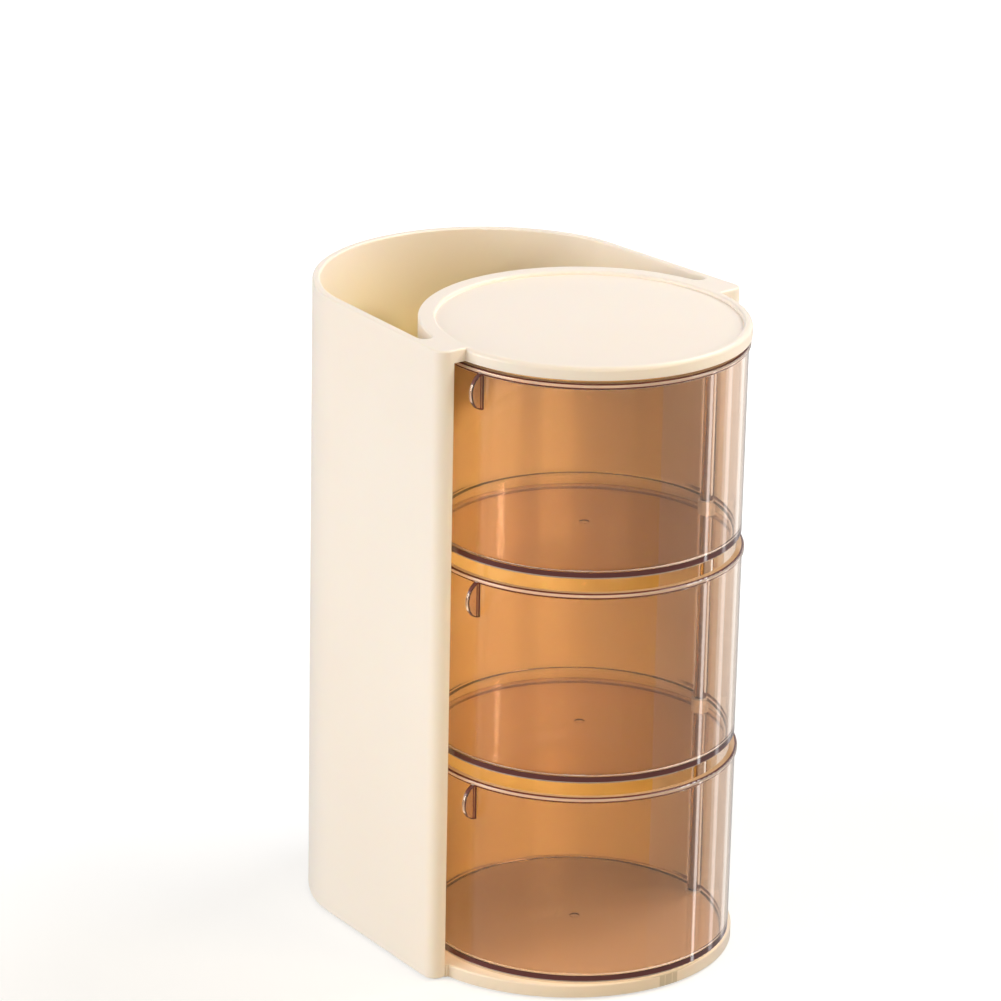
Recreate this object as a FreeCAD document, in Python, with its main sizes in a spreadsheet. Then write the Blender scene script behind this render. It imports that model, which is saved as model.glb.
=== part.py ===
import FreeCAD, Part
import Sketcher

import math
import os

# Desktop cosmetics organizer: a U-shaped housing with a brush well behind and three clear
# round drawers in front, which swing out one by one on a steel rod beside the right-hand post.
#
# Frame: +Z up, -Y is the front, origin on the table under the middle of the overall outline.
# The sketches are drawn about the axis of the closed drawers, and every body is placed
# CENTRING_Y further forward. Millimetres throughout; z = 0 is the table under the feet.

DRIVING_DIMENSIONS = {
    # housing, in plan
    "half_width": 54.4,
    "flank_taper": 4.3,
    "back_reach_y": 96.4,
    "bend_radius": 36.0,
    "bend_along": 50.0,
    "post_front_y": -3.0,
    "wall": 2.3,
    "post_corner_radius": 3.5,
    "bay_radius": 46.2,
    "partition": 2.0,
    "partition_root_radius": 2.2,
    "flare_half_width": 49.6,
    "flare_start_y": 3.0,
    "cut_margin": 2.0,
    # housing, in height
    "foot_stand": 0.6,
    "plate_top": 4.4,
    "total_height": 189.8,
    "ceiling": 3.8,
    "edge_round": 0.6,
    "disc_round": 1.2,
    # round top and its sunk face
    "top_radius": 46.0,
    "tray_radius": 43.4,
    "tray_depth": 1.2,
    # drawers
    "drawer_radius": 45.1,
    "drawer_draft": 0.3,
    "drawer_wall": 1.6,
    "drawer_floor": 1.3,
    "drawer_height": 57.2,
    "drawer_pitch": 61.2,
    "drawer_underside": 5.2,
    "drawer_heel_radius": 0.6,
    "drawer_cove_radius": 1.6,
    "rim_bead": 0.6,
    "rim_bead_height": 1.2,
    "gate_radius": 1.5,
    "gate_depth": 0.3,
    # finger pull on each drawer
    "pull_radius": 5.6,
    "pull_thickness": 1.5,
    "pull_drop": 0.6,
    "pull_angle": 191.0,
    "pull_edge_round": 0.5,
    # pivot
    "pivot_x": 41.4,
    "pivot_y": -5.6,
    "rod_radius": 1.2,
    "rod_bore_radius": 1.25,
    "rod_foot_z": 2.2,
    "rod_head_z": 187.2,
    "rod_socket_top_z": 187.4,
    "rod_chamfer": 0.3,
    "sleeve_radius": 2.3,
    "sleeve_foot": 0.7,
    "spacer_radius": 2.7,
    "boss_end_z": 185.0,
    "plug_radius": 3.0,
    "plug_recess_radius": 3.1,
    "plug_sink": 0.3,
    # base plate
    "plate_front_radius": 49.2,
    "plate_front_centre_y": 5.4,
    "plate_gap": 0.2,
    "mouth_overlap": 1.0,
    "rib_sector_inner": 12.0,
    "rib_sector_outer": 32.0,
    "rib_sector_angle": 48.0,
    "rib_recess": 1.2,
    "rib_slot_width": 9.0,
    "rib_slot_pitch": 12.0,
    "rib_slot_start_y": 52.0,
    "rib_slot_end_y": 84.0,
    # screws
    "front_screw_x": 48.5,
    "front_screw_y": 5.5,
    "rear_screw_x": 36.0,
    "rear_screw_y": 74.6,
    "screw_boss_radius": 3.5,
    "screw_boss_height": 8.0,
    "screw_pilot_radius": 0.8,
    "screw_shank_radius": 0.75,
    "screw_hole_radius": 1.05,
    "screw_head_radius": 1.8,
    "screw_head_height": 1.2,
    "screw_seat_radius": 2.0,
    "screw_seat_depth": 1.6,
    "screw_length": 6.5,
    "screw_cross_length": 2.2,
    "screw_cross_width": 0.6,
    "screw_cross_depth": 0.6,
    # feet
    "foot_radius": 5.0,
    "foot_height": 1.4,
    "foot_seat_radius": 5.1,
    "foot_round": 0.4,
    "front_foot_x": 29.0,
    "front_foot_y": -26.0,
    "rear_foot_x": 34.0,
    "rear_foot_y": 60.0,
}

RIB_SECTORS = 6
RIB_SLOT_STEPS = (-1.5, -0.5, 0.5, 1.5)

# How closely a place on an edge has to agree before a fillet takes that edge, in millimetres.
NEAR = 0.01

doc = FreeCAD.newDocument("rotating_drawer_organizer")


def make_sheet(values):
    """The spreadsheet that drives every size, one alias a row."""
    sheet = doc.addObject("Spreadsheet::Sheet", "dims")
    for row, (alias, value) in enumerate(values.items(), start=1):
        sheet.set("A%d" % row, alias)
        sheet.set("B%d" % row, "%g" % value)
        sheet.setAlias("B%d" % row, alias)
    doc.recompute()
    return sheet


dims = make_sheet(DRIVING_DIMENSIONS)

# Places and sizes that follow from the driving dimensions, as expressions on the sheet. Both
# flanks lean in towards the back, so each is measured by its reach: how far its line passes
# from the frame's origin.
LEAN_COS = "cos(dims.flank_taper)"
LEAN_SIN = "sin(dims.flank_taper)"
SHELL_REACH = "(dims.half_width * %s)" % LEAN_COS
SKIN_REACH = "(%s - dims.wall)" % SHELL_REACH
PLATE_REACH = "(%s - dims.plate_gap)" % SKIN_REACH
BEND_REACH = "(%s - dims.bend_radius)" % SHELL_REACH
BEND_X = "(%s * %s - dims.bend_along * %s)" % (BEND_REACH, LEAN_COS, LEAN_SIN)
BEND_Y = "(%s * %s + dims.bend_along * %s)" % (BEND_REACH, LEAN_SIN, LEAN_COS)
BEND_TO_BACK = "(dims.back_reach_y - %s)" % BEND_Y
BACK_RADIUS = "((%s^2 + %s^2 - dims.bend_radius^2) / (2 * (%s - dims.bend_radius)))" % (
    BEND_TO_BACK, BEND_X, BEND_TO_BACK)
BACK_CENTRE_Y = "(dims.back_reach_y - %s)" % BACK_RADIUS
CENTRING_Y = "(dims.top_radius - dims.back_reach_y) / 2"
PARTITION_BACK = "(dims.bay_radius + dims.partition)"
ROOT_ORBIT = "(%s + dims.partition_root_radius)" % PARTITION_BACK
ROOT_ALONG = "sqrt(%s^2 - (%s - dims.partition_root_radius)^2)" % (ROOT_ORBIT, SKIN_REACH)
SKIN_Y = "(dims.post_front_y + dims.wall)"
BEYOND_FRONT_Y = "(dims.post_front_y - dims.cut_margin)"
BAY_MOUTH_X = "sqrt(dims.bay_radius^2 - dims.flare_start_y^2)"
CEILING_Z = "(dims.total_height - dims.ceiling)"
PLATE_THICKNESS = "(dims.plate_top - dims.foot_stand)"


def value_of(expression):
    return float(dims.evalExpression(str(expression)))


def negative(expression):
    return "-(%s)" % expression


# ---------------------------------------------------------------- sketch and feature helpers

def place(item, x, y, z):
    """Puts an object at a place that is given from the drawers' axis."""
    item.setExpression("Placement.Base.x", x)
    item.setExpression("Placement.Base.y", "%s + %s" % (y, CENTRING_Y))
    item.setExpression("Placement.Base.z", z)


def new_body(label, x="0", y="0", z="0"):
    body = doc.addObject("PartDesign::Body", label)
    body.Label = label
    place(body, x, y, z)
    return body


def new_sketch(body, name, role, offset="0", turn=None):
    """A sketch on one of the body's own origin planes, moved along its normal by offset and
    turned about the plane's upright axis by the angle turn."""
    sketch = body.newObject("Sketcher::SketchObject", "%s_%s" % (body.Name, name))
    plane = [item for item in body.Origin.OriginFeatures if item.Role == role][0]
    sketch.AttachmentSupport = (plane, [""])
    sketch.MapMode = "FlatFace"
    sketch.setExpression("AttachmentOffset.Base.z", offset)
    if turn is not None:
        sketch.AttachmentOffset = FreeCAD.Placement(
            FreeCAD.Vector(0, 0, 0), FreeCAD.Rotation(FreeCAD.Vector(0, 1, 0), value_of(turn)))
        sketch.setExpression("AttachmentOffset.Rotation.Angle", turn)
    return sketch


def bind_coordinate(sketch, kind, geometry, point, expression):
    """Ties one coordinate of a sketch point to an expression, or to the axis where it is 0."""
    if str(expression) == "0":
        axis = -2 if kind == "DistanceX" else -1
        sketch.addConstraint(Sketcher.Constraint("PointOnObject", geometry, point, axis))
        return
    index = sketch.addConstraint(
        Sketcher.Constraint(kind, geometry, point, value_of(expression)))
    sketch.setExpression("Constraints[%d]" % index, str(expression))


def bind_radius(sketch, geometry, expression):
    index = sketch.addConstraint(Sketcher.Constraint("Radius", geometry, value_of(expression)))
    sketch.setExpression("Constraints[%d]" % index, str(expression))


def add_circle(sketch, x, y, radius):
    centre = FreeCAD.Vector(value_of(x), value_of(y), 0)
    circle = Part.Circle(centre, FreeCAD.Vector(0, 0, 1), value_of(radius))
    geometry = sketch.addGeometry(circle, False)
    bind_coordinate(sketch, "DistanceX", geometry, 3, x)
    bind_coordinate(sketch, "DistanceY", geometry, 3, y)
    bind_radius(sketch, geometry, radius)


def bind_bend(sketch, geometry, bend):
    """Holds an arc between its two ends by its centre or by its radius."""
    if bend["centre_x"] is not None:
        bind_coordinate(sketch, "DistanceX", geometry, 3, bend["centre_x"])
    elif bend["centre_y"] is not None:
        bind_coordinate(sketch, "DistanceY", geometry, 3, bend["centre_y"])
    else:
        bind_radius(sketch, geometry, bend["radius"])


def arc(radius, turn, centre_x=None, centre_y=None):
    """How a stretch of outline bends: turn +1 runs anticlockwise. One centre coordinate is
    given on a near half circle, where the radius alone would hardly hold the centre."""
    return {"radius": radius, "turn": turn, "centre_x": centre_x, "centre_y": centre_y}


def arc_between(start, end, radius, turn):
    """The arc of at most half a circle from start to end."""
    chord = end - start
    rise = math.sqrt(max(radius ** 2 - chord.Length ** 2 / 4, 0))
    left = FreeCAD.Vector(-chord.y, chord.x, 0).normalize()
    centre = (start + end) * 0.5 + left * rise * turn
    first, last = (start, end) if turn > 0 else (end, start)
    angles = [math.atan2(point.y - centre.y, point.x - centre.x) for point in (first, last)]
    circle = Part.Circle(centre, FreeCAD.Vector(0, 0, 1), radius)
    return Part.ArcOfCircle(circle, angles[0], angles[1])


def add_outline(sketch, corners):
    """A closed outline. Each corner is (x, y), or (x, y, arc) where the stretch from it to
    the next corner bends."""
    points = [FreeCAD.Vector(value_of(corner[0]), value_of(corner[1]), 0) for corner in corners]
    ends = []
    for index, corner in enumerate(corners):
        start = points[index]
        end = points[(index + 1) % len(points)]
        if len(corner) == 2:
            geometry = sketch.addGeometry(Part.LineSegment(start, end), False)
            ends.append((geometry, 1, 2))
            continue
        bend = corner[2]
        curve = arc_between(start, end, value_of(bend["radius"]), bend["turn"])
        geometry = sketch.addGeometry(curve, False)
        ends.append((geometry, 1, 2) if bend["turn"] > 0 else (geometry, 2, 1))
    for index, (geometry, first, last) in enumerate(ends):
        following = ends[(index + 1) % len(ends)]
        sketch.addConstraint(
            Sketcher.Constraint("Coincident", geometry, last, following[0], following[1]))
    for (geometry, first, last), corner in zip(ends, corners):
        bind_coordinate(sketch, "DistanceX", geometry, first, corner[0])
        bind_coordinate(sketch, "DistanceY", geometry, first, corner[1])
        if len(corner) > 2:
            bind_bend(sketch, geometry, corner[2])


def pad(body, name, sketch, length, both_ways=False):
    feature = body.newObject("PartDesign::Pad", "%s_%s" % (body.Name, name))
    feature.Profile = sketch
    feature.setExpression("Length", length)
    feature.Midplane = both_ways
    sketch.Visibility = False
    return feature


def pocket(body, name, sketch, length, upward=False):
    """Cuts down from the sketch, or up from it, and proves that something was cut."""
    doc.recompute()
    volume = body.Shape.Volume
    feature = body.newObject("PartDesign::Pocket", "%s_%s" % (body.Name, name))
    feature.Profile = sketch
    feature.setExpression("Length", length)
    feature.Reversed = upward
    sketch.Visibility = False
    doc.recompute()
    if body.Shape.Volume > volume - NEAR:
        raise RuntimeError("%s cuts nothing" % feature.Name)
    return feature


def round_edges(body, name, radius, wanted):
    """Fillets the edges of the body's tip that the test wanted(edge) picks."""
    doc.recompute()
    base = body.Tip
    names = ["Edge%d" % (index + 1)
             for index, edge in enumerate(base.Shape.Edges) if wanted(edge)]
    feature = body.newObject("PartDesign::Fillet", "%s_%s" % (body.Name, name))
    feature.Base = (base, names)
    feature.Refine = False
    feature.setExpression("Radius", radius)
    return feature


def lies_at(edge, z):
    """True where the whole edge lies at the height z."""
    box = edge.BoundBox
    return abs(box.ZMin - z) < NEAR and abs(box.ZMax - z) < NEAR


def reaches_front(edge, y):
    """True where the foremost point of the edge is at y."""
    return abs(edge.BoundBox.YMin - y) < NEAR


def revolve(body, name, sketch):
    feature = body.newObject("PartDesign::Revolution", "%s_%s" % (body.Name, name))
    feature.Profile = sketch
    feature.ReferenceAxis = (sketch, ["V_Axis"])
    feature.Angle = 360
    sketch.Visibility = False
    return feature


# ---------------------------------------------------------------- housing

def flank_x(reach, y):
    """Where the right-hand flank line of this reach stands at the depth y."""
    return "((%s - (%s) * %s) / %s)" % (reach, y, LEAN_SIN, LEAN_COS)


def flank_point(reach, along):
    """The point of the right-hand flank line this far along from its place nearest the origin."""
    x = "(%s * %s - %s * %s)" % (reach, LEAN_COS, along, LEAN_SIN)
    y = "(%s * %s + %s * %s)" % (reach, LEAN_SIN, along, LEAN_COS)
    return x, y


def back_stretch(reach):
    """From flank to flank behind: a tight bend, the wide back, and a tight bend again."""
    start_x, start_y = flank_point(reach, "dims.bend_along")
    bend = "(%s - %s)" % (reach, BEND_REACH)
    back = "(%s - dims.bend_radius + %s)" % (BACK_RADIUS, bend)
    share = "(%s / (%s - dims.bend_radius))" % (back, BACK_RADIUS)
    end_x = "(%s * %s)" % (BEND_X, share)
    end_y = "(%s + (%s - %s) * %s)" % (BACK_CENTRE_Y, BEND_Y, BACK_CENTRE_Y, share)
    return [
        (start_x, start_y, arc(bend, 1)),
        (end_x, end_y, arc(back, 1)),
        (negative(end_x), end_y, arc(bend, 1)),
        (negative(start_x), start_y),
    ]


def u_outline(reach, front_y):
    """The plan inside the shell: leaning flanks closed by a rounded back."""
    x = flank_x(reach, front_y)
    return [(x, front_y)] + back_stretch(reach) + [(negative(x), front_y)]


def shell_outline():
    """The housing's outer plan, with rounded corners on the two front posts."""
    radius = "dims.post_corner_radius"
    corner_y = "(dims.post_front_y + %s)" % radius
    corner_x = flank_x("(%s - %s)" % (SHELL_REACH, radius), corner_y)
    side_x = "(%s + %s * %s)" % (corner_x, radius, LEAN_COS)
    side_y = "(%s + %s * %s)" % (corner_y, radius, LEAN_SIN)
    front = [(corner_x, "dims.post_front_y", arc(radius, 1)), (side_x, side_y)]
    rear = [(negative(side_x), side_y, arc(radius, 1)), (negative(corner_x), "dims.post_front_y")]
    return front + back_stretch(SHELL_REACH) + rear


def well_outline():
    """The brush well: between the U wall and the round partition behind the drawers."""
    side_x, side_y = flank_point(SKIN_REACH, ROOT_ALONG)
    root_x, root_y = flank_point("(%s - dims.partition_root_radius)" % SKIN_REACH, ROOT_ALONG)
    ratio = "%s / %s" % (PARTITION_BACK, ROOT_ORBIT)
    end_x = "(%s * %s)" % (root_x, ratio)
    end_y = "(%s * %s)" % (root_y, ratio)
    left_root = arc("dims.partition_root_radius", 1, centre_x=negative(root_x))
    right_root = arc("dims.partition_root_radius", 1, centre_x=root_x)
    return [(side_x, side_y)] + back_stretch(SKIN_REACH) + [
        (negative(side_x), side_y, left_root),
        (negative(end_x), end_y, arc(PARTITION_BACK, -1, centre_y="0")),
        (end_x, end_y, right_root),
    ]


def bay_outline():
    """The drawer bay: round at the back, flared at its open front between the posts."""
    return [
        (BAY_MOUTH_X, "dims.flare_start_y", arc("dims.bay_radius", 1, centre_y="0")),
        (negative(BAY_MOUTH_X), "dims.flare_start_y"),
        ("-dims.flare_half_width", "dims.post_front_y"),
        ("-dims.flare_half_width", BEYOND_FRONT_Y),
        ("dims.flare_half_width", BEYOND_FRONT_Y),
        ("dims.flare_half_width", "dims.post_front_y"),
    ]


def plate_seat_outline():
    """The space under the partition and the posts that the base plate fills."""
    return u_outline(SKIN_REACH, SKIN_Y) + [
        ("-dims.flare_half_width", SKIN_Y),
        ("-dims.flare_half_width", BEYOND_FRONT_Y),
        ("dims.flare_half_width", BEYOND_FRONT_Y),
        ("dims.flare_half_width", SKIN_Y),
    ]


SCREW_PLACES = [
    ("dims.front_screw_x", "dims.front_screw_y"),
    ("-dims.front_screw_x", "dims.front_screw_y"),
    ("dims.rear_screw_x", "dims.rear_screw_y"),
    ("-dims.rear_screw_x", "dims.rear_screw_y"),
]
FOOT_PLACES = {
    "foot_front_left": ("-dims.front_foot_x", "dims.front_foot_y"),
    "foot_front_right": ("dims.front_foot_x", "dims.front_foot_y"),
    "foot_rear_left": ("-dims.rear_foot_x", "dims.rear_foot_y"),
    "foot_rear_right": ("dims.rear_foot_x", "dims.rear_foot_y"),
}


def make_housing():
    body = new_body("housing")
    top_z = value_of("dims.total_height")
    bottom_z = value_of("dims.foot_stand")

    block = new_sketch(body, "plan", "XY_Plane", "dims.foot_stand")
    add_outline(block, shell_outline())
    pad(body, "block", block, "dims.total_height - dims.foot_stand")

    round_edges(body, "outside_round", "dims.edge_round",
                lambda edge: lies_at(edge, top_z) or lies_at(edge, bottom_z))
    disc = new_sketch(body, "top_section", "XZ_Plane")
    add_outline(disc, [
        ("0", CEILING_Z),
        ("dims.top_radius", CEILING_Z),
        ("dims.top_radius", "(dims.total_height - dims.disc_round)",
         arc("dims.disc_round", 1)),
        ("(dims.top_radius - dims.disc_round)", "dims.total_height"),
        ("0", "dims.total_height"),
    ])
    revolve(body, "top_disc", disc)

    well = new_sketch(body, "well_plan", "XY_Plane", "dims.total_height")
    add_outline(well, well_outline())
    pocket(body, "well", well, "dims.total_height - dims.plate_top")
    round_edges(body, "well_round", "dims.edge_round",
                lambda edge: lies_at(edge, top_z) and is_well_edge(edge))

    tray = new_sketch(body, "tray_circle", "XY_Plane", "dims.total_height")
    add_circle(tray, "0", "0", "dims.tray_radius")
    pocket(body, "tray", tray, "dims.tray_depth")
    tray_front = value_of("-dims.tray_radius")
    round_edges(body, "tray_round", "dims.edge_round",
                lambda edge: lies_at(edge, top_z) and reaches_front(edge, tray_front))

    bay = new_sketch(body, "bay_plan", "XY_Plane", CEILING_Z)
    add_outline(bay, bay_outline())
    pocket(body, "bay", bay, "%s - dims.plate_top" % CEILING_Z)
    round_edges(body, "post_round", "dims.edge_round", is_post_corner)

    seat = new_sketch(body, "plate_seat_plan", "XY_Plane", "dims.plate_top")
    add_outline(seat, plate_seat_outline())
    pocket(body, "plate_seat", seat, PLATE_THICKNESS)

    boss = new_sketch(body, "rod_boss_circle", "XY_Plane", "dims.boss_end_z")
    add_circle(boss, "dims.pivot_x", "dims.pivot_y", "dims.spacer_radius")
    pad(body, "rod_boss", boss, "%s - dims.boss_end_z" % CEILING_Z)
    socket = new_sketch(body, "rod_socket_circle", "XY_Plane", "dims.boss_end_z")
    add_circle(socket, "dims.pivot_x", "dims.pivot_y", "dims.rod_bore_radius")
    pocket(body, "rod_socket", socket, "dims.rod_socket_top_z - dims.boss_end_z", upward=True)

    for index, (x, y) in enumerate(SCREW_PLACES[2:], start=1):
        column = new_sketch(body, "screw_boss_circle_%d" % index, "XY_Plane", "dims.plate_top")
        add_circle(column, x, y, "dims.screw_boss_radius")
        pad(body, "screw_boss_%d" % index, column, "dims.screw_boss_height")
    pilots = new_sketch(body, "pilot_circles", "XY_Plane", "dims.plate_top")
    for x, y in SCREW_PLACES:
        add_circle(pilots, x, y, "dims.screw_pilot_radius")
    pocket(body, "pilots", pilots, "dims.screw_length", upward=True)
    return body


def is_well_edge(edge):
    """Every point of the brush well's mouth lies behind the drawer bay, within the skin."""
    ends = [vertex.Point for vertex in edge.Vertexes]
    skin = value_of(SKIN_REACH)
    lean = math.radians(value_of("dims.flank_taper"))
    behind = all(math.hypot(end.x, end.y) > value_of("dims.bay_radius") + NEAR for end in ends)
    inside = all(abs(end.x) * math.cos(lean) + end.y * math.sin(lean) < skin + NEAR
                 for end in ends)
    return behind and inside and edge.BoundBox.YMin > value_of("dims.flare_start_y")


def is_post_corner(edge):
    """The upright front edges where the flared mouth meets the face of each post."""
    box = edge.BoundBox
    upright = box.XLength < NEAR and box.ZLength > value_of("dims.total_height / 2")
    at_mouth = abs(abs(box.XMin) - value_of("dims.flare_half_width")) < NEAR
    return upright and at_mouth and reaches_front(edge, value_of("dims.post_front_y"))


# ---------------------------------------------------------------- base plate, feet, screws

def make_base_plate():
    body = new_body("base_plate")
    tongue = "(dims.flare_half_width - dims.plate_gap)"
    inner_y = "(%s + dims.plate_gap)" % SKIN_Y
    overlap_y = "(%s + dims.mouth_overlap)" % inner_y

    under = new_sketch(body, "seat_plan", "XY_Plane", "dims.foot_stand")
    add_outline(under, u_outline(PLATE_REACH, inner_y))
    pad(body, "seat", under, PLATE_THICKNESS)

    mouth = new_sketch(body, "mouth_plan", "XY_Plane", "dims.foot_stand")
    add_outline(mouth, [
        (tongue, "dims.post_front_y"),
        (tongue, overlap_y),
        (negative(tongue), overlap_y),
        (negative(tongue), "dims.post_front_y"),
    ])
    pad(body, "mouth", mouth, PLATE_THICKNESS)

    disc = new_sketch(body, "disc_circle", "XY_Plane", "dims.foot_stand")
    add_circle(disc, "0", "dims.plate_front_centre_y", "dims.plate_front_radius")
    pad(body, "disc", disc, PLATE_THICKNESS)

    front_y = value_of("dims.plate_front_centre_y - dims.plate_front_radius")
    top_z = value_of("dims.plate_top")
    round_edges(body, "disc_round", "dims.edge_round",
                lambda edge: lies_at(edge, top_z) and reaches_front(edge, front_y))

    rod = new_sketch(body, "rod_circle", "XY_Plane", "dims.foot_stand")
    add_circle(rod, "dims.pivot_x", "dims.pivot_y", "dims.rod_bore_radius")
    pocket(body, "rod_hole", rod, PLATE_THICKNESS, upward=True)
    plug = new_sketch(body, "plug_circle", "XY_Plane", "dims.foot_stand")
    add_circle(plug, "dims.pivot_x", "dims.pivot_y", "dims.plug_recess_radius")
    pocket(body, "plug_recess", plug, "dims.rod_foot_z - dims.foot_stand", upward=True)

    holes = new_sketch(body, "screw_circles", "XY_Plane", "dims.foot_stand")
    seats = new_sketch(body, "screw_seat_circles", "XY_Plane", "dims.foot_stand")
    for x, y in SCREW_PLACES:
        add_circle(holes, x, y, "dims.screw_hole_radius")
        add_circle(seats, x, y, "dims.screw_seat_radius")
    pocket(body, "screw_holes", holes, PLATE_THICKNESS, upward=True)
    pocket(body, "screw_seats", seats, "dims.screw_seat_depth", upward=True)

    recesses = new_sketch(body, "foot_circles", "XY_Plane", "dims.foot_stand")
    for x, y in FOOT_PLACES.values():
        add_circle(recesses, x, y, "dims.foot_seat_radius")
    pocket(body, "foot_recesses", recesses, "dims.foot_height - dims.foot_stand", upward=True)

    add_sector_recesses(body)
    add_slot_recesses(body)
    return body


def add_sector_recesses(body):
    """Six wedge recesses under the front disc, which leave six spokes and a hub."""
    half_angle = "(dims.rib_sector_angle / 2)"
    inner, outer = "dims.rib_sector_inner", "dims.rib_sector_outer"
    wedge = new_sketch(body, "sector_plan", "XY_Plane", "dims.foot_stand")
    add_outline(wedge, [
        ("(%s * sin(%s))" % (outer, half_angle), "(%s * cos(%s))" % (outer, half_angle),
         arc(outer, 1)),
        ("-(%s * sin(%s))" % (outer, half_angle), "(%s * cos(%s))" % (outer, half_angle)),
        ("-(%s * sin(%s))" % (inner, half_angle), "(%s * cos(%s))" % (inner, half_angle),
         arc(inner, -1)),
        ("(%s * sin(%s))" % (inner, half_angle), "(%s * cos(%s))" % (inner, half_angle)),
    ])
    first = pocket(body, "sector", wedge, "dims.rib_recess", upward=True)
    pattern = body.newObject("PartDesign::PolarPattern", "base_plate_sectors")
    pattern.Originals = [first]
    axis = [item for item in body.Origin.OriginFeatures if item.Role == "Z_Axis"][0]
    pattern.Axis = (axis, [""])
    pattern.Angle = 360
    pattern.Occurrences = RIB_SECTORS
    body.Tip = pattern


def add_slot_recesses(body):
    """A row of straight recesses under the brush well, with ribs between them."""
    slots = new_sketch(body, "slot_plans", "XY_Plane", "dims.foot_stand")
    for step in RIB_SLOT_STEPS:
        centre = "%g * dims.rib_slot_pitch" % step
        left = "(%s - dims.rib_slot_width / 2)" % centre
        right = "(%s + dims.rib_slot_width / 2)" % centre
        add_outline(slots, [
            (left, "dims.rib_slot_start_y"),
            (right, "dims.rib_slot_start_y"),
            (right, "dims.rib_slot_end_y"),
            (left, "dims.rib_slot_end_y"),
        ])
    pocket(body, "slots", slots, "dims.rib_recess", upward=True)


def make_foot(label, x, y):
    """A round rubber foot, pressed into its recess and rounded where it meets the table."""
    body = new_body(label, x, y)
    profile = new_sketch(body, "profile", "XZ_Plane")
    add_outline(profile, [
        ("0", "0"),
        ("dims.foot_radius - dims.foot_round", "0", arc("dims.foot_round", 1)),
        ("dims.foot_radius", "dims.foot_round"),
        ("dims.foot_radius", "dims.foot_height"),
        ("0", "dims.foot_height"),
    ])
    revolve(body, "disc", profile)
    return body


def make_base_screws():
    """Four self-tapping screws that hold the base plate up to the housing."""
    seat_z = "(dims.foot_stand + dims.screw_seat_depth)"
    head_z = "(%s - dims.screw_head_height)" % seat_z
    screws = []
    for index, (x, y) in enumerate(SCREW_PLACES, start=1):
        head = doc.addObject("Part::Cylinder", "screw_head_%d" % index)
        head.setExpression("Radius", "dims.screw_head_radius")
        head.setExpression("Height", "dims.screw_head_height")
        head.setExpression("Placement.Base.z", head_z)
        shank = doc.addObject("Part::Cylinder", "screw_shank_%d" % index)
        shank.setExpression("Radius", "dims.screw_shank_radius")
        shank.setExpression("Height", "dims.screw_length")
        shank.setExpression("Placement.Base.z", seat_z)
        whole = doc.addObject("Part::Fuse", "screw_blank_%d" % index)
        whole.Base, whole.Tool = head, shank
        slots = []
        for name, turned in (("a", False), ("b", True)):
            slot = doc.addObject("Part::Box", "screw_slot_%d%s" % (index, name))
            long_side, short_side = ("Width", "Length") if turned else ("Length", "Width")
            slot.setExpression(long_side, "dims.screw_cross_length")
            slot.setExpression(short_side, "dims.screw_cross_width")
            slot.setExpression("Height", "dims.screw_cross_depth")
            slot.setExpression("Placement.Base.x", "-%s.Length / 2" % slot.Name)
            slot.setExpression("Placement.Base.y", "-%s.Width / 2" % slot.Name)
            slot.setExpression("Placement.Base.z", head_z)
            slots.append(slot)
        cross = doc.addObject("Part::MultiFuse", "screw_cross_%d" % index)
        cross.Shapes = slots
        screw = doc.addObject("Part::Cut", "screw_%d" % index)
        screw.Base, screw.Tool = whole, cross
        screw.setExpression("Placement.Base.x", x)
        screw.setExpression("Placement.Base.y", y)
        screws.append(screw)
    group = doc.addObject("Part::Compound", "base_screws")
    group.Label = "base_screws"
    group.Links = screws
    place(group, "0", "0", "0")
    return group


# ---------------------------------------------------------------- drawers

def drawer_profile():
    """Half section of the round drawer: draft, heel, rim bead, cove and gate dimple."""
    heel = "dims.drawer_heel_radius"
    cove = "dims.drawer_cove_radius"
    foot = "(dims.drawer_radius - dims.drawer_draft)"
    inner_foot = "(%s - dims.drawer_wall)" % foot
    inner_rim = "(dims.drawer_radius - dims.drawer_wall)"
    bead = "(dims.drawer_radius + dims.rim_bead)"
    bead_z = "(dims.drawer_height - dims.rim_bead_height)"
    return [
        ("0", "0"),
        ("%s - %s" % (foot, heel), "0", arc(heel, 1)),
        (foot, heel),
        ("dims.drawer_radius", "%s - dims.rim_bead" % bead_z),
        (bead, bead_z),
        (bead, "dims.drawer_height - dims.rim_bead", arc("dims.rim_bead", 1)),
        ("dims.drawer_radius", "dims.drawer_height"),
        (inner_rim, "dims.drawer_height"),
        (inner_foot, "dims.drawer_floor + %s" % cove, arc(cove, -1)),
        ("%s - %s" % (inner_foot, cove), "dims.drawer_floor"),
        ("dims.gate_radius", "dims.drawer_floor"),
        ("dims.gate_radius", "dims.drawer_floor - dims.gate_depth"),
        ("0", "dims.drawer_floor - dims.gate_depth"),
    ]


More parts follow.
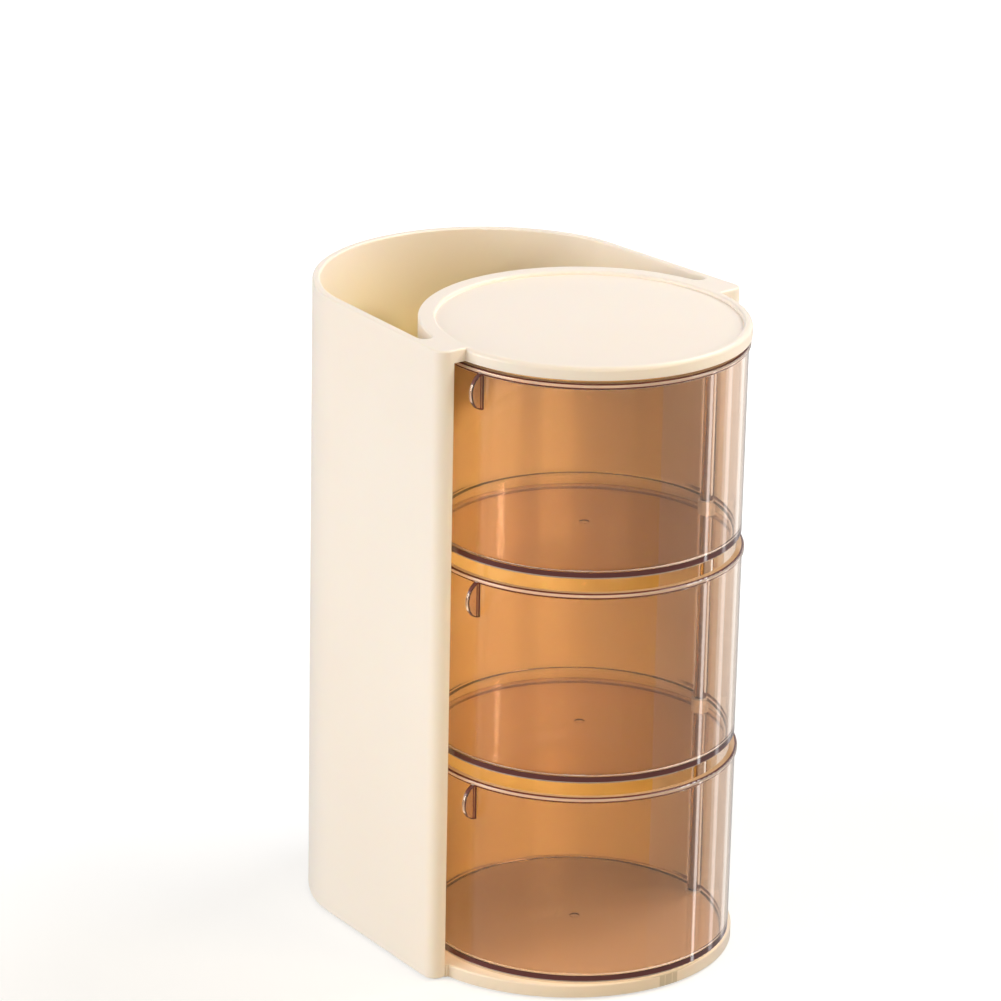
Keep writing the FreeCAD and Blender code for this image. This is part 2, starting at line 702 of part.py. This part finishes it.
def make_drawer(label, level):
    """One clear drawer: cup, pivot sleeve inside its wall, and half-moon finger pull."""
    body = new_body(label, z=level_underside(level))
    cup = new_sketch(body, "section", "XZ_Plane")
    add_outline(cup, drawer_profile())
    revolve(body, "cup", cup)

    sleeve = new_sketch(body, "sleeve_circle", "XY_Plane", "dims.sleeve_foot")
    add_circle(sleeve, "dims.pivot_x", "dims.pivot_y", "dims.sleeve_radius")
    pad(body, "sleeve", sleeve, "dims.drawer_height - dims.sleeve_foot")

    pull = new_sketch(body, "pull_outline", "XZ_Plane", "0", "dims.pull_angle")
    root_x = "(dims.drawer_radius - dims.drawer_wall / 2)"
    pull_top = "(dims.drawer_height - dims.pull_drop)"
    add_outline(pull, [
        (root_x, "%s - 2 * dims.pull_radius" % pull_top,
         arc("dims.pull_radius", 1, centre_x=root_x)),
        (root_x, pull_top),
    ])
    pad(body, "pull", pull, "dims.pull_thickness", both_ways=True)
    reach = value_of("%s + dims.pull_radius" % root_x)
    round_edges(body, "pull_round", "dims.pull_edge_round",
                lambda edge: is_pull_edge(edge, reach))

    bore = new_sketch(body, "bore_circle", "XY_Plane", "dims.drawer_height")
    add_circle(bore, "dims.pivot_x", "dims.pivot_y", "dims.rod_bore_radius")
    pocket(body, "bore", bore, "dims.drawer_height")
    return body


def is_pull_edge(edge, reach):
    """The two round edges of the finger pull reach out past the drawer's wall."""
    box = edge.BoundBox
    corners = [math.hypot(x, y) for x in (box.XMin, box.XMax) for y in (box.YMin, box.YMax)]
    tall = box.ZLength > value_of("dims.pull_radius / 2")
    return tall and max(corners) > reach - value_of("dims.pull_thickness")


# ---------------------------------------------------------------- rod and its spacers

def make_pivot_rod():
    """The steel rod that every drawer swings on, chamfered at both ends."""
    body = new_body("pivot_rod", "dims.pivot_x", "dims.pivot_y", "dims.rod_foot_z")
    length = "(dims.rod_head_z - dims.rod_foot_z)"
    profile = new_sketch(body, "profile", "XZ_Plane")
    add_outline(profile, [
        ("0", "0"),
        ("dims.rod_radius - dims.rod_chamfer", "0"),
        ("dims.rod_radius", "dims.rod_chamfer"),
        ("dims.rod_radius", "%s - dims.rod_chamfer" % length),
        ("dims.rod_radius - dims.rod_chamfer", length),
        ("0", length),
    ])
    revolve(body, "bar", profile)
    return body


def make_spacer(label, low_z, high_z):
    """A tube on the rod that carries the drawer above it."""
    body = new_body(label, "dims.pivot_x", "dims.pivot_y", low_z)
    ring = new_sketch(body, "ring", "XY_Plane")
    add_circle(ring, "0", "0", "dims.spacer_radius")
    add_circle(ring, "0", "0", "dims.rod_bore_radius")
    pad(body, "tube", ring, "%s - %s" % (high_z, low_z))
    return body


def make_rod_plug():
    """The press-in disc that closes the rod's hole from below."""
    body = new_body(
        "rod_plug", "dims.pivot_x", "dims.pivot_y", "dims.foot_stand + dims.plug_sink")
    face = new_sketch(body, "circle", "XY_Plane")
    add_circle(face, "0", "0", "dims.plug_radius")
    pad(body, "disc", face, "dims.rod_foot_z - dims.foot_stand - dims.plug_sink")
    return body


# ---------------------------------------------------------------- assembly and export

def level_underside(level):
    return "(dims.drawer_underside + %d * dims.drawer_pitch)" % level


def make_all():
    parts = [make_housing(), make_base_plate(), make_base_screws(), make_pivot_rod(),
             make_rod_plug()]
    parts += [make_foot(label, x, y) for label, (x, y) in FOOT_PLACES.items()]
    parts.append(make_spacer("spacer_bottom", "dims.plate_top", level_underside(0)))
    for level, label in enumerate(("spacer_lower", "spacer_upper")):
        rim_z = "(%s + dims.drawer_height)" % level_underside(level)
        parts.append(make_spacer(label, rim_z, level_underside(level + 1)))
    for level, label in enumerate(("drawer_bottom", "drawer_middle", "drawer_top")):
        parts.append(make_drawer(label, level))
    return parts


def check_document(parts):
    """Stops on any failed object or bad shape, and prints what each part measures."""
    for item in doc.Objects:
        if "Invalid" in item.State or "Error" in item.State:
            raise RuntimeError("%s failed: %s" % (item.Name, item.State))
    for item in parts:
        if item.Shape.isNull() or not item.Shape.isValid() or not item.Shape.Solids:
            raise RuntimeError("%s has a bad shape" % item.Label)
        box = item.Shape.BoundBox
        print("%-18s %2d solid  %9.1f mm3  x %.1f..%.1f  y %.1f..%.1f  z %.1f..%.1f" % (
            item.Label, len(item.Shape.Solids), item.Shape.Volume,
            box.XMin, box.XMax, box.YMin, box.YMax, box.ZMin, box.ZMax))


def export(parts):
    os.makedirs("parts", exist_ok=True)
    for item in parts:
        item.Shape.exportStep(os.path.join("parts", item.Label + ".step"))


all_parts = make_all()
doc.recompute()
check_document(all_parts)
export(all_parts)
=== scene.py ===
import math

import bpy
from mathutils import Matrix, Vector

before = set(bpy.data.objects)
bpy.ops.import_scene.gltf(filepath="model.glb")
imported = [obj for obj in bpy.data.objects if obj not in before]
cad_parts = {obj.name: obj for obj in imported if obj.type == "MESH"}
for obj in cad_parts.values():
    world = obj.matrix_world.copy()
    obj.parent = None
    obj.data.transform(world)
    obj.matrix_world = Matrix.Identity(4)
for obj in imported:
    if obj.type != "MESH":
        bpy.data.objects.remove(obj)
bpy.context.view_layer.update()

# All lengths are in metres. The camera, the lamps and the colours' masks are measured from the
# foot of the closed drawers' axis.
DRUM_FOOT = Vector((0.0, -0.0252, 0.0))

# The housing, as part.py has it. The lines of the flanks, the back and the partition run inside
# their walls and part one face from the other. The heights lie just above the faces they mean.
FLANK_TAPER = math.radians(4.3)
FLANK_LINE = 0.0531
BACK_CENTRE_Y, BACK_LINE = 0.0444, 0.0508
PARTITION_LINE = 0.0465
BEHIND_POSTS = (0.003, 0.008)
WELL_RIM_Z, WELL_DEEP_Z = 0.1893, 0.150
CEILING_Z = 0.1861
PLATE_TOP_Z = 0.0046
UNDER_DRAWER_RADIUS = 0.0438

# A drawer's edges: radii from its axis and levels above its own underside.
LOWEST_UNDERSIDE, DRAWER_PITCH = 0.0052, 0.0612
FLOOR_EDGE_RADIUS = 0.0441
FRONT_HALF = (0.008, 0.0)
HEEL_TOP, FLOOR_TOP = 0.0006, 0.0021
BEAD_LOW, RIM_LOW, RIM_HIGH = 0.0562, 0.05695, 0.058
BEAD_RADIUS, LIP_RADIUS = 0.0453, 0.0449
PULL_ROOT_RADIUS, PULL_MIDDLE, PULL_LOW = 0.0451, 0.0510, 0.044
PULL_START, PULL_ROOT_WIDTH, PULL_INSIDE = 0.0002, 0.0008, 0.0049

# Colours are linear RGB.
# The next three are painted light on the clear drawers: dark mauve painted shade on the edges, pale
# painted highlights, and gold painted on the rim's top.
PAINTED_SHADE_MAUVE = (0.13, 0.03, 0.025)
PAINTED_HIGHLIGHT_PALE = (0.98, 0.82, 0.74)
PAINTED_RIM_GOLD = (0.66, 0.45, 0.27)
CLEAR_TINT = (0.835, 0.705, 0.60)

# Where noise lies most of the time.
NOISE_RANGE = (0.3, 0.7)

# Name, place, target, side of the square, watts and colour.
AREA_LAMPS = (
    ("key", (-1.3, 0.45, 0.5), (0.0, 0.0, 0.1), 0.8, 13.8, (1.0, 0.97, 0.92)),
    ("top", (0.85, -0.05, 1.1), (0.0, 0.0, 0.15), 0.7, 9.5, (0.94, 0.95, 1.0)),
    ("side", (0.5, -1.0, 1.15), (0.0, 0.0, 0.15), 0.6, 5.0, (1.0, 0.78, 0.48)),
    ("front", (-0.4, -1.35, 0.45), (0.0, 0.0, 0.1), 0.6, 3.3, (1.0, 0.80, 0.46)),
)

# Name, place, target, whole angle of the cone in degrees, watts and colour.
SPOT_LAMPS = (
    ("well", (0.7, -1.2, 0.72), (-0.005, 0.055, 0.18), 6.5, 75.0, (1.0, 0.92, 0.76)),
    ("bay", (-0.95, -1.15, 0.3), (0.022, 0.012, 0.04), 7.5, 28.0, (1.0, 0.80, 0.42)),
)
SPOT_SOFTNESS = 0.1

FLOOR_HALF = 6.0
FLOOR_GREY = (0.5, 0.5, 0.5)
FLOOR_GLOW = (0.6, 1.0)
FLOOR_GLOW_RISES = (0.15, 0.7)

FILL_COLOUR, FILL_STRENGTH = (1.0, 0.96, 0.89), 0.25

# What mirrored rays see below the horizon: an even grey with upright bright strips. Each strip
# has its direction and half its width in degrees, and how much it adds.
MIRRORED_GREY = 0.7
MIRRORED_STRIPS = ((62, 2.2, 7.0), (86, 4, 2.2), (110, 6, 0.8), (-154, 4, 1.2))
STRIP_CORE = 0.4
HORIZON = (-0.02, 0.02)

# The photograph's camera, fitted to its round rims: degrees, metres, pixels and millimetres.
AZIMUTH, ELEVATION, ROLL = -37.85, 19.64, 1.11
DISTANCE, STEP_RIGHT, STEP_UP = 1.5311, -0.02397, 0.12665
FOCAL_LENGTH_PIXELS, PICTURE_PIXELS, SENSOR_MM = 5227.25, 1001, 36.0


# ---------------------------------------------------------------- node helpers

def feed(tree, socket, value):
    """Links another node's output to a socket, or sets the socket's number or RGB colour."""
    if isinstance(value, bpy.types.NodeSocket):
        tree.links.new(value, socket)
    elif isinstance(value, tuple):
        socket.default_value = (*value, 1.0)
    else:
        socket.default_value = value


def new_material(name):
    material = bpy.data.materials.new(name)
    material.use_nodes = True
    tree = material.node_tree
    tree.nodes.clear()
    output = tree.nodes.new("ShaderNodeOutputMaterial")
    shader = tree.nodes.new("ShaderNodeBsdfPrincipled")
    tree.links.new(shader.outputs["BSDF"], output.inputs["Surface"])
    return material, tree, shader, output


def object_space(tree):
    return tree.nodes.new("ShaderNodeTexCoord").outputs["Object"]


def maths(tree, operation, *values):
    node = tree.nodes.new("ShaderNodeMath")
    node.operation = operation
    for socket, value in zip(node.inputs, values):
        feed(tree, socket, value)
    return node.outputs["Value"]


def plus(tree, first, second):
    return maths(tree, "ADD", first, second)


def minus(tree, first, second):
    return maths(tree, "SUBTRACT", first, second)


def times(tree, first, second):
    return maths(tree, "MULTIPLY", first, second)


def largest(tree, first, *others):
    for other in others:
        first = maths(tree, "MAXIMUM", first, other)
    return first


def above(tree, value, limit):
    return maths(tree, "GREATER_THAN", value, limit)


def below(tree, value, limit):
    return maths(tree, "LESS_THAN", value, limit)


def between(tree, value, low, high):
    return times(tree, above(tree, value, low), below(tree, value, high))


def ramp(tree, value, start, end, low=0.0, high=1.0):
    """Goes from low to high while the value goes from start to end, and stays there."""
    node = tree.nodes.new("ShaderNodeMapRange")
    for name, number in (("From Min", start), ("From Max", end), ("To Min", low), ("To Max", high)):
        node.inputs[name].default_value = number
    tree.links.new(value, node.inputs["Value"])
    return node.outputs["Result"]


def noise(tree, space, scale, detail=3.0):
    node = tree.nodes.new("ShaderNodeTexNoise")
    node.inputs["Scale"].default_value = scale
    node.inputs["Detail"].default_value = detail
    tree.links.new(space, node.inputs["Vector"])
    return node.outputs["Fac"]


def clouds(tree, space, scale, low=0.0, high=1.0):
    """Noise that is spread over the range from low to high."""
    return ramp(tree, noise(tree, space, scale), *NOISE_RANGE, low, high)


def mix_colours(tree, factor, under, over):
    node = tree.nodes.new("ShaderNodeMix")
    node.data_type = "RGBA"
    feed(tree, node.inputs["A"], under)
    feed(tree, node.inputs["B"], over)
    tree.links.new(factor, node.inputs["Factor"])
    return node.outputs["Result"]


def mix_shaders(tree, factor, first, second):
    node = tree.nodes.new("ShaderNodeMixShader")
    for socket, source in zip(node.inputs, (factor, first, second)):
        tree.links.new(source, socket)
    return node.outputs["Shader"]


def transparent(tree, colour):
    node = tree.nodes.new("ShaderNodeBsdfTransparent")
    feed(tree, node.inputs["Color"], colour)
    return node.outputs["BSDF"]


def bump(tree, shader, height, strength, distance):
    node = tree.nodes.new("ShaderNodeBump")
    node.inputs["Strength"].default_value = strength
    node.inputs["Distance"].default_value = distance
    tree.links.new(height, node.inputs["Height"])
    tree.links.new(node.outputs["Normal"], shader.inputs["Normal"])


def any_ray(tree, *kinds):
    """1 for light paths of the given kinds."""
    path = tree.nodes.new("ShaderNodeLightPath")
    return largest(tree, *(path.outputs[kind] for kind in kinds))


def mirror_ray(tree):
    """1 for rays that were mirrored at a surface, and 0 for those that went through it."""
    passed_on = minus(tree, 1.0, any_ray(tree, "Is Transmission Ray"))
    return times(tree, any_ray(tree, "Is Glossy Ray"), passed_on)


# ---------------------------------------------------------------- where a point lies

def from_drum_foot(tree, space):
    """The x, y and z of a surface point, from DRUM_FOOT."""
    node = tree.nodes.new("ShaderNodeSeparateXYZ")
    tree.links.new(space, node.inputs["Vector"])
    return node.outputs["X"], minus(tree, node.outputs["Y"], DRUM_FOOT.y), node.outputs["Z"]


def length(tree, x, y):
    squares = plus(tree, maths(tree, "POWER", x, 2.0), maths(tree, "POWER", y, 2.0))
    return maths(tree, "SQRT", squares)


def painted_shading_region(tree, space):
    """1 in the drawer bay and under the drawers, rising to 1 with depth in the brush well: where
    painted bounce light and painted shade go.
    """
    x, y, z = from_drum_foot(tree, space)
    reach = plus(tree, times(tree, maths(tree, "ABSOLUTE", x), math.cos(FLANK_TAPER)),
                 times(tree, y, math.sin(FLANK_TAPER)))
    between_flanks = below(tree, reach, FLANK_LINE)
    before_back = below(tree, length(tree, x, minus(tree, y, BACK_CENTRE_Y)), BACK_LINE)
    inside_walls = times(tree, between_flanks, before_back)
    radius = length(tree, x, y)
    behind_drum = times(tree, above(tree, radius, PARTITION_LINE), ramp(tree, y, *BEHIND_POSTS))
    well = times(tree, behind_drum, ramp(tree, z, WELL_RIM_Z, WELL_DEEP_Z))
    bay = times(tree, below(tree, radius, PARTITION_LINE), below(tree, z, CEILING_Z))
    walls = times(tree, inside_walls, largest(tree, well, bay))
    under_drawers = times(tree, below(tree, z, PLATE_TOP_Z),
                          below(tree, radius, UNDER_DRAWER_RADIUS))
    return largest(tree, walls, under_drawers)


def drawer_edges(tree, space):
    """Masks of a drawer's edges: dark mauve lines of painted shade, pale lines of painted highlight
    under them, and the rim's flat top, painted gold.
    """
    x, y, z = from_drum_foot(tree, space)
    level = maths(tree, "MODULO", minus(tree, z, LOWEST_UNDERSIDE), DRAWER_PITCH)
    radius = length(tree, x, y)
    front = times(tree, above(tree, radius, FLOOR_EDGE_RADIUS), ramp(tree, y, *FRONT_HALF))
    floor_edge = times(tree, front, between(tree, level, HEEL_TOP, FLOOR_TOP))
    heel = times(tree, front, below(tree, level, HEEL_TOP))
    rim_top = between(tree, level, RIM_LOW, RIM_HIGH)
    lip = times(tree, rim_top, above(tree, radius, LIP_RADIUS))
    bead = times(tree, between(tree, level, BEAD_LOW, RIM_LOW), above(tree, radius, BEAD_RADIUS))
    outward = minus(tree, radius, PULL_ROOT_RADIUS)
    from_middle = length(tree, outward, minus(tree, level, PULL_MIDDLE))
    on_pull = times(tree, above(tree, outward, PULL_START),
                    between(tree, level, PULL_LOW, BEAD_LOW))
    outline = largest(tree, above(tree, from_middle, PULL_INSIDE),
                      below(tree, outward, PULL_ROOT_WIDTH))
    # Painted shade: dark lines on the floor's front edge, the lip and the pull's outline.
    painted_dark_lines = largest(tree, floor_edge, lip, times(tree, on_pull, outline))
    # The bead and the heel are pale lines of painted highlight.
    return painted_dark_lines, largest(tree, bead, heel), rim_top


# ---------------------------------------------------------------- materials

def cream_plastic(name, pale, paler, painted_inside_shading):
    """Satin cream moulding. In the drawer bay, the brush well and under the drawers its colour
    gives way to painted light and shade: golden painted bounce light on the shell, where its walls
    light one another, and darker painted shade on the base plate.
    """
    material, tree, shader, _ = new_material(name)
    space = object_space(tree)
    open_colour = mix_colours(tree, clouds(tree, space, 14.0), pale, paler)
    # Painted light and shade: the bay, the well and the plate under the drawers take the painted
    # colour instead of the cream.
    colour = mix_colours(tree, painted_shading_region(tree, space), open_colour, painted_inside_shading)
    tree.links.new(colour, shader.inputs["Base Color"])
    tree.links.new(clouds(tree, space, 60.0, 0.30, 0.38), shader.inputs["Roughness"])
    shader.inputs["IOR"].default_value = 1.5
    shader.inputs["Subsurface Weight"].default_value = 0.15
    shader.inputs["Subsurface Radius"].default_value = (1.0, 0.6, 0.3)
    shader.inputs["Subsurface Scale"].default_value = 0.003
    bump(tree, shader, noise(tree, space, 2600.0, 2.0), 0.12, 0.00004)
    return material


def clear_plastic():
    """Clear moulding with a smoky pink tint. It is less clear at its edges, which carry painted
    dark mauve shade, painted pale highlights and a painted gold rim top.
    """
    material, tree, shader, output = new_material("clear_plastic")
    space = object_space(tree)
    painted_dark_lines, pale, rim_top = drawer_edges(tree, space)
    # Painted light: the rim's flat top is made solid gold, standing in for the bay's golden light
    # seen through the clear rim.
    colour = mix_colours(tree, rim_top, CLEAR_TINT, PAINTED_RIM_GOLD)
    # Painted highlights: pale lines on the bead and the heel.
    colour = mix_colours(tree, pale, colour, PAINTED_HIGHLIGHT_PALE)
    # Painted shade: dark mauve lines on the floor's front edge, the lip and the pull's outline.
    colour = mix_colours(tree, painted_dark_lines, colour, PAINTED_SHADE_MAUVE)
    tree.links.new(colour, shader.inputs["Base Color"])
    solid = largest(tree, times(tree, painted_dark_lines, 0.75), times(tree, pale, 0.4),
                    times(tree, rim_top, 0.8))
    tree.links.new(minus(tree, 1.0, solid), shader.inputs["Transmission Weight"])
    tree.links.new(clouds(tree, space, 40.0, 0.01, 0.03), shader.inputs["Roughness"])
    shader.inputs["IOR"].default_value = 1.5
    surface = mix_shaders(tree, any_ray(tree, "Is Shadow Ray"), shader.outputs["BSDF"],
                          transparent(tree, (1.0, 0.97, 0.93)))
    tree.links.new(surface, output.inputs["Surface"])
    absorb = tree.nodes.new("ShaderNodeVolumeAbsorption")
    absorb.inputs["Color"].default_value = (0.73, 0.53, 0.40, 1.0)
    absorb.inputs["Density"].default_value = 12.0
    tree.links.new(absorb.outputs["Volume"], output.inputs["Volume"])
    return material


def steel(name, colour, smoothest, roughest):
    material, tree, shader, _ = new_material(name)
    feed(tree, shader.inputs["Base Color"], colour)
    shader.inputs["Metallic"].default_value = 1.0
    rough = clouds(tree, object_space(tree), 900.0, smoothest, roughest)
    tree.links.new(rough, shader.inputs["Roughness"])
    return material


def matt(name, scale, dark, light, roughness, grain=0.0):
    """Clouded matt plastic or rubber, with a fine grain where that is given."""
    material, tree, shader, _ = new_material(name)
    space = object_space(tree)
    colour = mix_colours(tree, clouds(tree, space, scale), dark, light)
    tree.links.new(colour, shader.inputs["Base Color"])
    shader.inputs["Roughness"].default_value = roughness
    if grain:
        bump(tree, shader, noise(tree, space, 4000.0), grain, 0.00003)
    return material


def dress_nodes():
    """Gives each CAD node the first finish whose word its name starts with."""
    finishes = (
        ("drawer", clear_plastic()),
        ("spacer", matt("spacer_plastic", 200.0, (0.80, 0.78, 0.75), (0.86, 0.84, 0.81), 0.5)),
        ("foot", matt("foot_rubber", 300.0, (0.55, 0.52, 0.48), (0.62, 0.59, 0.55), 0.75, 0.2)),
        ("pivot_rod", steel("rod_steel", (0.62, 0.62, 0.63), 0.12, 0.28)),
        ("base_screws", steel("screw_steel", (0.52, 0.52, 0.54), 0.25, 0.45)),
        # Each cream finish's last colour is painted: darker painted shade under the drawers on the
        # base plate, and golden painted bounce light in the bay and the well on the shell.
        ("base_plate", cream_plastic("cream_base", (0.86, 0.75, 0.63), (0.88, 0.77, 0.65),
                                     (0.64, 0.55, 0.43))),
        ("", cream_plastic("cream_shell", (0.93, 0.845, 0.77), (0.945, 0.87, 0.80),
                           (0.98, 0.80, 0.39))),
    )
    for name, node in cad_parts.items():
        finish = next(material for start, material in finishes if name.startswith(start))
        node.data.materials.clear()
        node.data.materials.append(finish)


# ---------------------------------------------------------------- floor, light, camera

def make_floor():
    """A floor that takes the object's shadow, glows towards white and isn't mirrored."""
    mesh = bpy.data.meshes.new("floor")
    corners = [(x * FLOOR_HALF, y * FLOOR_HALF, 0.0)
               for x, y in ((-1, -1), (1, -1), (1, 1), (-1, 1))]
    mesh.from_pydata(corners, [], [(0, 1, 2, 3)])
    floor = bpy.data.objects.new("floor", mesh)
    bpy.context.scene.collection.objects.link(floor)
    material, tree, shader, output = new_material("floor")
    feed(tree, shader.inputs["Base Color"], FLOOR_GREY)
    shader.inputs["Roughness"].default_value = 0.9
    shader.inputs["Specular IOR Level"].default_value = 0.0
    # Far from the lamps the floor glows more, so that it stays white to the picture's edges.
    x, y, _ = from_drum_foot(tree, object_space(tree))
    strength = ramp(tree, length(tree, x, y), *FLOOR_GLOW_RISES, *FLOOR_GLOW)
    seen = any_ray(tree, "Is Camera Ray", "Is Transmission Ray")
    glow = tree.nodes.new("ShaderNodeEmission")
    tree.links.new(times(tree, strength, seen), glow.inputs["Strength"])
    lit = tree.nodes.new("ShaderNodeAddShader")
    tree.links.new(shader.outputs["BSDF"], lit.inputs[0])
    tree.links.new(glow.outputs["Emission"], lit.inputs[1])
    surface = mix_shaders(tree, mirror_ray(tree), lit.outputs["Shader"],
                          transparent(tree, (1.0, 1.0, 1.0)))
    tree.links.new(surface, output.inputs["Surface"])
    mesh.materials.append(material)


def mirrored(tree):
    """What polished walls mirror: white above the horizon, and grey with strips below it."""
    direction = tree.nodes.new("ShaderNodeTexCoord").outputs["Generated"]
    split = tree.nodes.new("ShaderNodeSeparateXYZ")
    tree.links.new(direction, split.inputs["Vector"])
    around = maths(tree, "ARCTAN2", split.outputs["X"], times(tree, split.outputs["Y"], -1.0))
    low = MIRRORED_GREY
    for middle, half, added in MIRRORED_STRIPS:
        away = maths(tree, "ABSOLUTE", minus(tree, around, math.radians(middle)))
        strip = ramp(tree, away, math.radians(half), math.radians(half * STRIP_CORE))
        low = plus(tree, times(tree, strip, added), low)
    high = ramp(tree, split.outputs["Z"], *HORIZON)
    return plus(tree, times(tree, minus(tree, 1.0, high), low), high)


def light_world():
    """A faint warm fill for the object, and a white room for what is seen or mirrored."""
    world = bpy.data.worlds.new("studio")
    bpy.context.scene.world = world
    world.use_nodes = True
    tree = world.node_tree
    tree.nodes.clear()
    output = tree.nodes.new("ShaderNodeOutputWorld")
    fill = tree.nodes.new("ShaderNodeBackground")
    feed(tree, fill.inputs["Color"], FILL_COLOUR)
    fill.inputs["Strength"].default_value = FILL_STRENGTH
    room = tree.nodes.new("ShaderNodeBackground")
    mirror = mirror_ray(tree)
    strength = plus(tree, times(tree, mirror, mirrored(tree)), minus(tree, 1.0, mirror))
    tree.links.new(strength, room.inputs["Strength"])
    seen = any_ray(tree, "Is Camera Ray", "Is Transmission Ray", "Is Glossy Ray")
    surface = mix_shaders(tree, seen, fill.outputs["Background"], room.outputs["Background"])
    tree.links.new(surface, output.inputs["Surface"])


def add_lamp(name, kind, place, target, power, colour):
    data = bpy.data.lights.new(name, kind)
    data.energy = power
    data.color = colour
    lamp = bpy.data.objects.new(name, data)
    lamp.location = DRUM_FOOT + Vector(place)
    lamp.rotation_mode = "QUATERNION"
    lamp.rotation_quaternion = (Vector(target) - Vector(place)).to_track_quat("-Z", "Y")
    bpy.context.scene.collection.objects.link(lamp)
    return data


def add_lamps():
    for name, place, target, side, power, colour in AREA_LAMPS:
        data = add_lamp(name, "AREA", place, target, power, colour)
        data.shape = "RECTANGLE"
        data.size = data.size_y = side
    for name, place, target, angle, power, colour in SPOT_LAMPS:
        data = add_lamp(name, "SPOT", place, target, power, colour)
        data.spot_size = math.radians(angle)
        data.spot_blend = 1.0
        data.shadow_soft_size = SPOT_SOFTNESS


def make_camera():
    """Stands as the photograph's camera did: long lens, from the left and a little above."""
    azimuth, elevation, roll = (math.radians(angle) for angle in (AZIMUTH, ELEVATION, ROLL))
    back = Vector((math.sin(azimuth) * math.cos(elevation),
                   -math.cos(azimuth) * math.cos(elevation), math.sin(elevation)))
    level = Vector((math.cos(azimuth), math.sin(azimuth), 0.0))
    upward = back.cross(level)
    right = level * math.cos(roll) + upward * math.sin(roll)
    up = upward * math.cos(roll) - level * math.sin(roll)
    data = bpy.data.cameras.new("camera")
    data.lens = FOCAL_LENGTH_PIXELS * SENSOR_MM / PICTURE_PIXELS
    data.sensor_width = SENSOR_MM
    data.clip_start, data.clip_end = 0.05, 50.0
    camera = bpy.data.objects.new("camera", data)
    axes = Matrix((right, up, back)).transposed()
    place = DRUM_FOOT + back * DISTANCE + level * STEP_RIGHT + upward * STEP_UP
    camera.matrix_world = Matrix.Translation(place) @ axes.to_4x4()
    bpy.context.scene.collection.objects.link(camera)
    bpy.context.scene.camera = camera


dress_nodes()
make_floor()
light_world()
add_lamps()
make_camera()
bpy.context.scene.view_settings.view_transform = "Standard"
